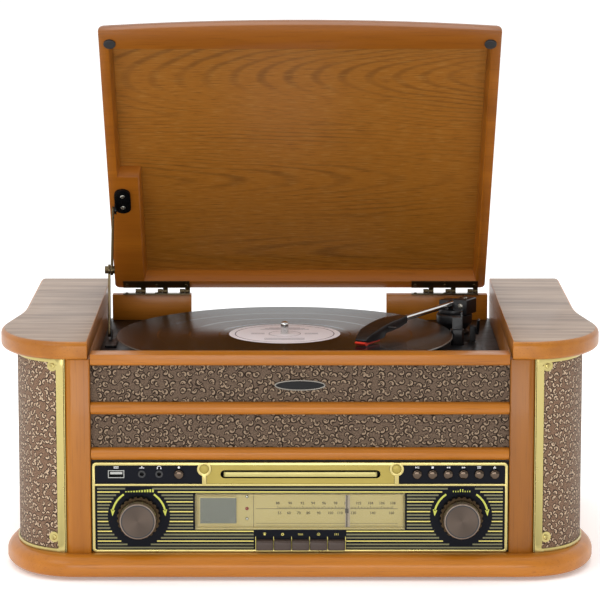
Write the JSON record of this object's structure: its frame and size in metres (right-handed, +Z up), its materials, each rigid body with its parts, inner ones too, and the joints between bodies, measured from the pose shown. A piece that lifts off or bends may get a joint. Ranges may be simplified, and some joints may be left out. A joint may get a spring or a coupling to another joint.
{
  "type": "stereo music centre",
  "caption": "Wooden tabletop music centre with a record player under a hinged lid, a disc drawer, a tuner dial, knobs, keys and cloth-covered speaker corners.",
  "frame": {"origin": "on the surface it stands on, under the middle of the cabinet: halfway between its sides and halfway between its columns' front plane and its back", "axes": "+X to the right as seen from the front, +Y to the back, +Z up. It stands as it is used, with its lid propped open."},
  "size_m": [0.5188, 0.3673, 0.4676],
  "materials": {
    "wood_front": "satin",
    "wood_lid": "satin",
    "wood_cap": "satin",
    "wood_dark": "matt",
    "board": "matt",
    "cloth": "woven",
    "brass": "satin",
    "fascia_black": "gloss",
    "gold_plate": "satin",
    "knob_metal": "satin",
    "key_brown": "satin",
    "black_plastic": "matt",
    "rubber": "matt",
    "chrome": "polished",
    "steel": "brushed",
    "antique_steel": "brushed",
    "dial_paper": "matt",
    "clear": "polished",
    "pointer_red": "matt",
    "vinyl": "gloss",
    "deck_paint": "satin",
    "stylus_red": "matt",
    "circuit": "matt",
    "speaker_frame": "matt",
    "back_black": "matt"
  },
  "bodies": {
    "cabinet": {"base_board": "wood_front", "bottom_cover": "back_black", "columns": "wood_front", "front_rails": "wood_front", "front_board": "wood_dark", "fabric_bands": "cloth", "inner_walls": "board", "side_walls": "wood_front", "grille_boards": "cloth", "grille_frames": "brass", "side_caps": "wood_cap", "back_panel": "back_black", "speakers": "speaker_frame", "rear_sockets": "black_plastic", "power_board": "circuit", "fascia_rim": "brass", "control_fascia": "fascia_black", "disc_fascia": "gold_plate", "front_sockets": "chrome", "dial_plate": "dial_paper", "dial_glass": "clear", "disc_mechanism": "back_black", "deck_plate": "deck_paint", "spindle": "chrome", "drive_motor": "steel", "drive_belt": "rubber", "arm_base": "black_plastic", "hinge_blocks": "wood_front", "hinge_cabinet_leaves": "antique_steel", "stay_deck_bracket": "antique_steel"},
    "lid": {"lid_panel": "wood_lid", "lid_frame": "wood_lid", "lid_bumpers": "rubber", "hinge_lid_leaves": "antique_steel", "stay_lid_bracket": "black_plastic"},
    "stay_upper": {"stay_upper_arm": "antique_steel"},
    "stay_lower": {"stay_lower_arm": "antique_steel"},
    "turntable": {"platter": "deck_paint", "record": "vinyl"},
    "arm_pivot": {"arm_gimbal": "black_plastic"},
    "arm": {"arm_tube": "chrome", "headshell": "black_plastic", "stylus": "stylus_red"},
    "cue": {"cue_lever": "black_plastic"},
    "volume": {"volume_knob": "knob_metal"},
    "tuning": {"tuning_knob": "knob_metal"},
    "pointer": {"tuning_pointer": "pointer_red"},
    "drawer": {"disc_drawer": "black_plastic"},
    "record_press": {"record_button": "knob_metal"},
    "play_press": {"play_button": "knob_metal"},
    "stop_press": {"stop_button": "knob_metal"},
    "back_press": {"back_button": "knob_metal"},
    "skip_press": {"skip_button": "knob_metal"},
    "program_press": {"program_button": "knob_metal"},
    "open_press": {"open_button": "knob_metal"},
    "tuner_select": {"tuner_key": "key_brown"},
    "disc_select": {"disc_key": "key_brown"},
    "tape_select": {"tape_key": "key_brown"},
    "phono_select": {"phono_key": "key_brown"},
    "tone_select": {"tone_key": "key_brown"}
  },
  "joints": [
    {"name": "lid_hinge", "type": "hinge", "parent": "cabinet", "child": "lid", "pos_m": [0, 0.1685, 0.1937], "axis": [1, 0, 0], "range_deg": [0, 49.2]},
    {"name": "stay_upper_turn", "type": "hinge", "parent": "lid", "child": "stay_upper", "pos_m": [-0.172, 0.08462, 0.28246], "axis": [1, 0, 0], "range_deg": [-101, 0.5]},
    {"name": "stay_lower_turn", "type": "hinge", "parent": "cabinet", "child": "stay_lower", "pos_m": [-0.1744, 0.0475, 0.174], "axis": [1, 0, 0], "range_deg": [-0.5, 97.8]},
    {"name": "platter_spin", "type": "hinge", "parent": "cabinet", "child": "turntable", "pos_m": [-0.0138, -0.0009, 0.18], "axis": [0, 0, 1], "continuous": true},
    {"name": "arm_swing", "type": "hinge", "parent": "cabinet", "child": "arm_pivot", "pos_m": [0.143, 0.0895, 0.195], "axis": [0, 0, 1], "range_deg": [-11.3, 30]},
    {"name": "arm_lift", "type": "hinge", "parent": "arm_pivot", "child": "arm", "pos_m": [0.143, 0.0895, 0.195], "axis": [-0.8652, 0.5015, 0], "range_deg": [0, 2.4]},
    {"name": "cue_turn", "type": "hinge", "parent": "cabinet", "child": "cue", "pos_m": [0.162, 0.0495, 0.1765], "axis": [-1, 0, 0], "range_deg": [0, 40]},
    {"name": "volume_turn", "type": "hinge", "parent": "cabinet", "child": "volume", "pos_m": [-0.1374, -0.1725, 0.0533], "axis": [0, 1, 0], "range_deg": [-150, 150]},
    {"name": "tuning_turn", "type": "hinge", "parent": "cabinet", "child": "tuning", "pos_m": [0.1374, -0.1725, 0.0533], "axis": [0, 1, 0], "range_deg": [-430, 229]},
    {"name": "pointer_slide", "type": "slide", "parent": "cabinet", "child": "pointer", "axis": [1, 0, 0], "range_m": [-0.0751, 0.04]},
    {"name": "drawer_slide", "type": "slide", "parent": "cabinet", "child": "drawer", "axis": [0, -1, 0], "range_m": [0, 0.12]},
    {"name": "record_press", "type": "slide", "parent": "cabinet", "child": "record_press", "axis": [0, 1, 0], "range_m": [0, 0.0012], "stiffness_N_per_m": 400},
    {"name": "play_press", "type": "slide", "parent": "cabinet", "child": "play_press", "axis": [0, 1, 0], "range_m": [0, 0.0012], "stiffness_N_per_m": 400},
    {"name": "stop_press", "type": "slide", "parent": "cabinet", "child": "stop_press", "axis": [0, 1, 0], "range_m": [0, 0.0012], "stiffness_N_per_m": 400},
    {"name": "back_press", "type": "slide", "parent": "cabinet", "child": "back_press", "axis": [0, 1, 0], "range_m": [0, 0.0012], "stiffness_N_per_m": 400},
    {"name": "skip_press", "type": "slide", "parent": "cabinet", "child": "skip_press", "axis": [0, 1, 0], "range_m": [0, 0.0012], "stiffness_N_per_m": 400},
    {"name": "program_press", "type": "slide", "parent": "cabinet", "child": "program_press", "axis": [0, 1, 0], "range_m": [0, 0.0012], "stiffness_N_per_m": 400},
    {"name": "open_press", "type": "slide", "parent": "cabinet", "child": "open_press", "axis": [0, 1, 0], "range_m": [0, 0.0012], "stiffness_N_per_m": 400},
    {"name": "tuner_select", "type": "slide", "parent": "cabinet", "child": "tuner_select", "axis": [0, 1, 0], "range_m": [0, 0.002], "stiffness_N_per_m": 400},
    {"name": "disc_select", "type": "slide", "parent": "cabinet", "child": "disc_select", "axis": [0, 1, 0], "range_m": [0, 0.002], "stiffness_N_per_m": 400},
    {"name": "tape_select", "type": "slide", "parent": "cabinet", "child": "tape_select", "axis": [0, 1, 0], "range_m": [0, 0.002], "stiffness_N_per_m": 400},
    {"name": "phono_select", "type": "slide", "parent": "cabinet", "child": "phono_select", "axis": [0, 1, 0], "range_m": [0, 0.002], "stiffness_N_per_m": 400},
    {"name": "tone_select", "type": "slide", "parent": "cabinet", "child": "tone_select", "axis": [0, 1, 0], "range_m": [0, 0.002], "stiffness_N_per_m": 400}
  ],
  "couplings": [
    {"joint": "stay_upper_turn", "follows": "lid_hinge", "ratio": -2.048},
    {"joint": "stay_lower_turn", "follows": "lid_hinge", "ratio": 1.98},
    {"joint": "arm_lift", "follows": "cue_turn", "ratio": 0.06},
    {"joint": "pointer_slide", "follows": "tuning_turn", "m_per_rad": 0.01}
  ]
}
